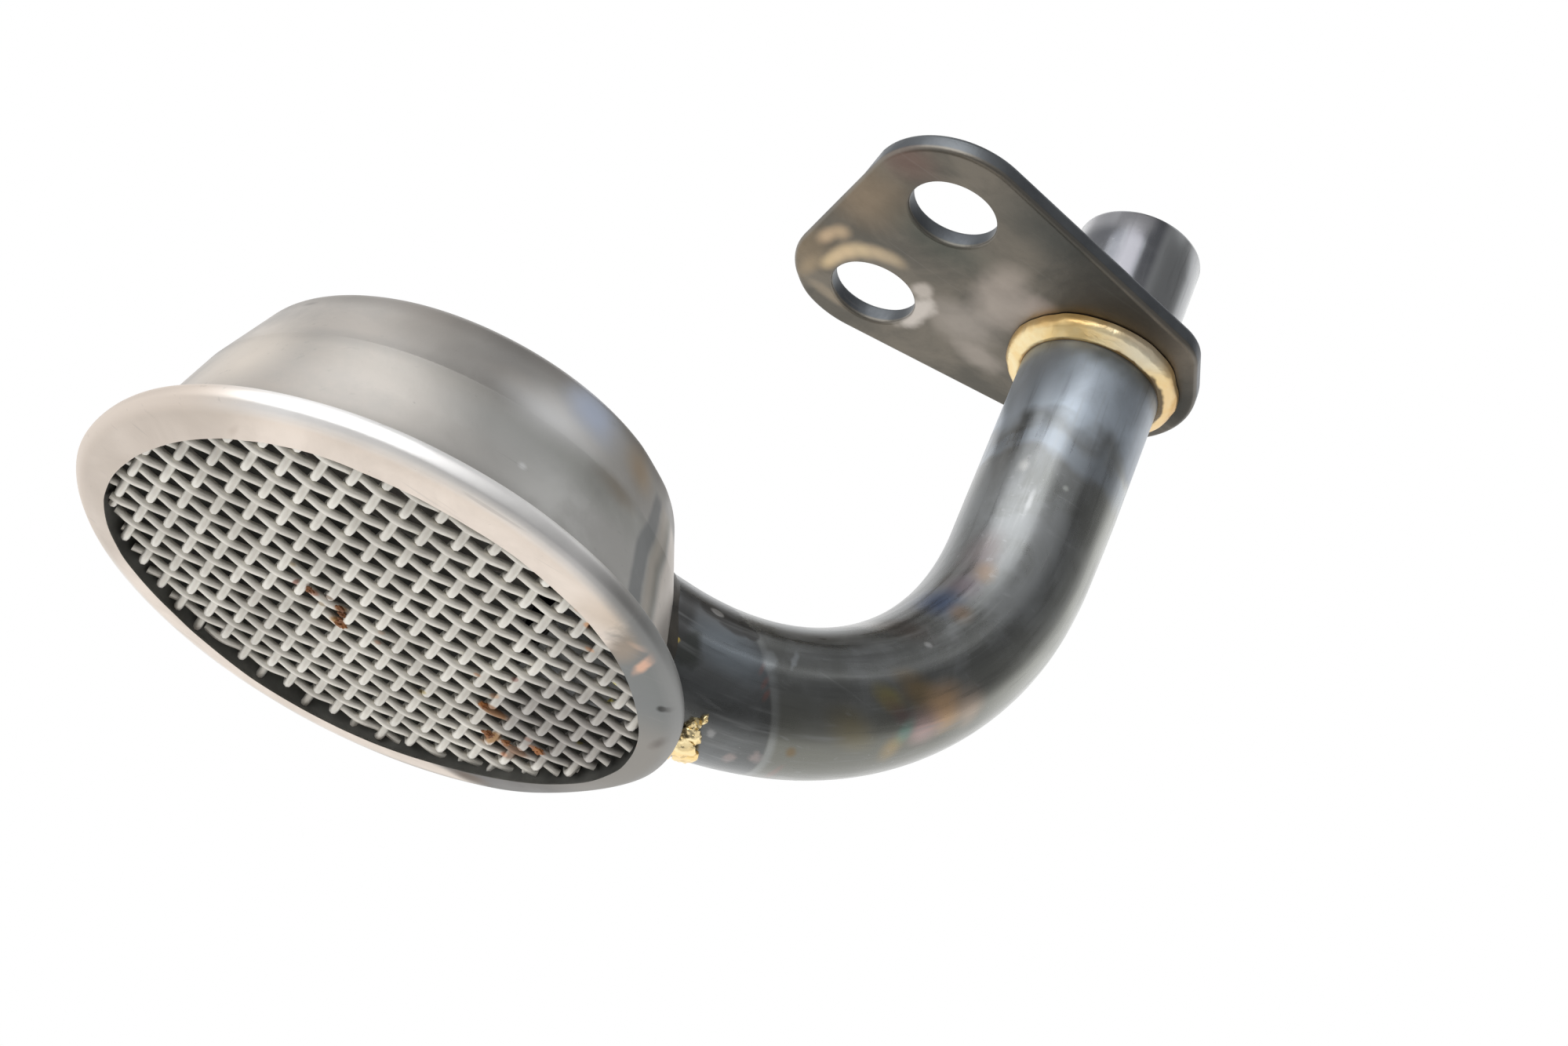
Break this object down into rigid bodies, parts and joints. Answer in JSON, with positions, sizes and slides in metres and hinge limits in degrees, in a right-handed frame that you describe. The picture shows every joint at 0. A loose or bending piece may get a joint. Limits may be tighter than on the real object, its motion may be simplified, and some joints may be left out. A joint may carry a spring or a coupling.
{
  "type": "oil pickup tube",
  "caption": "Oil pickup tube with a round strainer cup and woven inlet screen, a bent suction pipe and a two-hole mounting flange below its spigot.",
  "frame": {"origin": "flange's pump-side face, midway between the two bolt holes", "axes": "+Z along the spigot away from the flange's pump-side face, as installed, with the screen facing -Z; +X from the strainer cup towards the pipe's upright leg"},
  "size_m": [0.0814, 0.0495, 0.0738],
  "materials": {
    "cup_steel": "satin",
    "screen_wire": "dull",
    "pipe_oxide": "dark heat oxide",
    "flange_steel": "dark heat oxide",
    "braze_gold": "as brazed"
  },
  "bodies": {
    "root": {"strainer_cup": "cup_steel", "inlet_screen": "screen_wire", "pickup_pipe": "pipe_oxide", "flange_plate": "flange_steel", "flange_braze": "braze_gold", "cup_braze": "braze_gold"}
  },
  "joints": []
}
